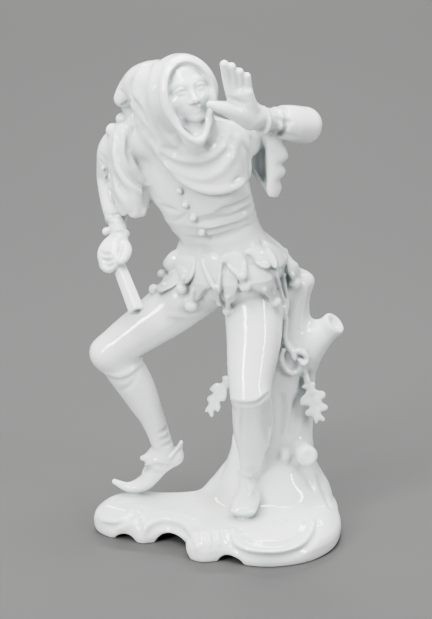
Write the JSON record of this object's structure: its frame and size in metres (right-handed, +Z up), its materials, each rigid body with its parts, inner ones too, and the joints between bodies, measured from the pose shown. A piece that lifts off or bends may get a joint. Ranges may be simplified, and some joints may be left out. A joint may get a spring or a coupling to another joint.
{
  "type": "porcelain jester figurine",
  "caption": "White glazed porcelain figurine of a striding jester in hood and tabbed skirt, a baton in one hand, on a low scrolled base with a tree stump.",
  "frame": {"origin": "centre of the bounding box, on the plane that the base rim stands on", "axes": "+Z up, the figure's front towards -Y, +X to the viewer's right"},
  "size_m": [0.1062, 0.0742, 0.2101],
  "materials": {
    "porcelain": "glossy white glaze"
  },
  "bodies": {
    "root": {"jester_figurine": "porcelain"}
  },
  "joints": []
}
